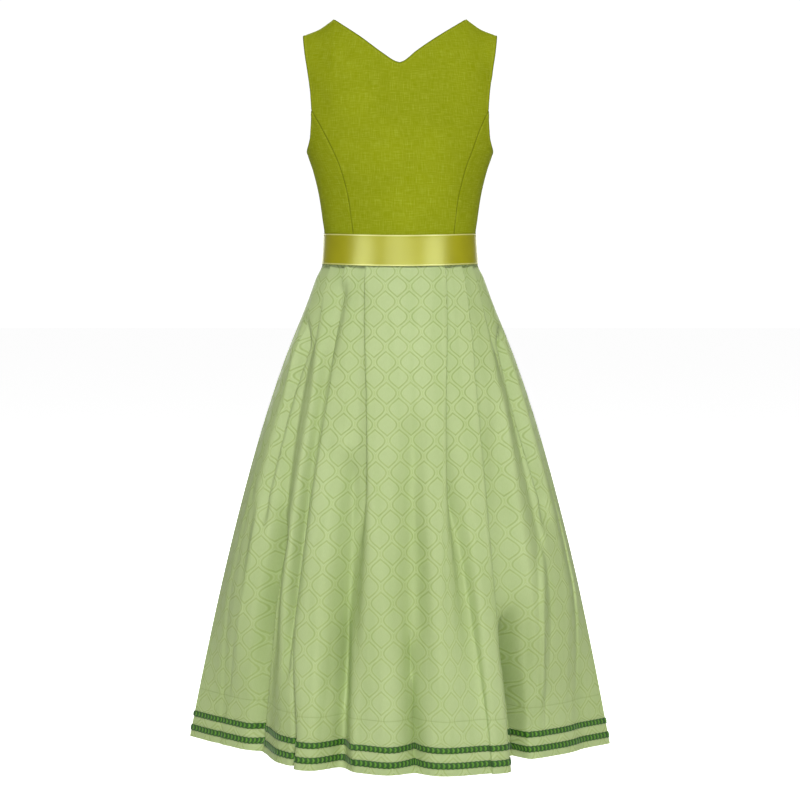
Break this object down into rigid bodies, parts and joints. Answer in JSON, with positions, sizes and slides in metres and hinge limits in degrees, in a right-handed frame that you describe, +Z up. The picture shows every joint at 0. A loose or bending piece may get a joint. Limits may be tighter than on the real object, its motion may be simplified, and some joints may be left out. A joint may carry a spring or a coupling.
{
  "type": "dirndl dress",
  "caption": "Sleeveless worn-form dirndl dress: panelled bodice with a V back, satin ribbon belt, pleated midi skirt with two braids at the hem.",
  "frame": {"origin": "midway between the inner ends of the two shoulder seams, where the wearer's shoulders hold the dress", "axes": "+Z up; the back of the dress faces -Y; +X is the dress's right side as seen from behind"},
  "size_m": [0.693, 0.4653, 1.1944],
  "materials": {
    "bodice_linen": "matt plain weave",
    "ribbon_satin": "glossy satin",
    "skirt_jacquard": "soft sheen jacquard",
    "hem_braid": "matt ruched braid"
  },
  "bodies": {
    "root": {"back_centre": "bodice_linen", "back_side_left": "bodice_linen", "back_side_right": "bodice_linen", "front_left": "bodice_linen", "front_right": "bodice_linen", "front_side_left": "bodice_linen", "front_side_right": "bodice_linen", "ribbon": "ribbon_satin", "skirt_back": "skirt_jacquard", "skirt_front": "skirt_jacquard", "trim_lower_back": "hem_braid", "trim_lower_front": "hem_braid", "trim_upper_back": "hem_braid", "trim_upper_front": "hem_braid"}
  },
  "joints": []
}
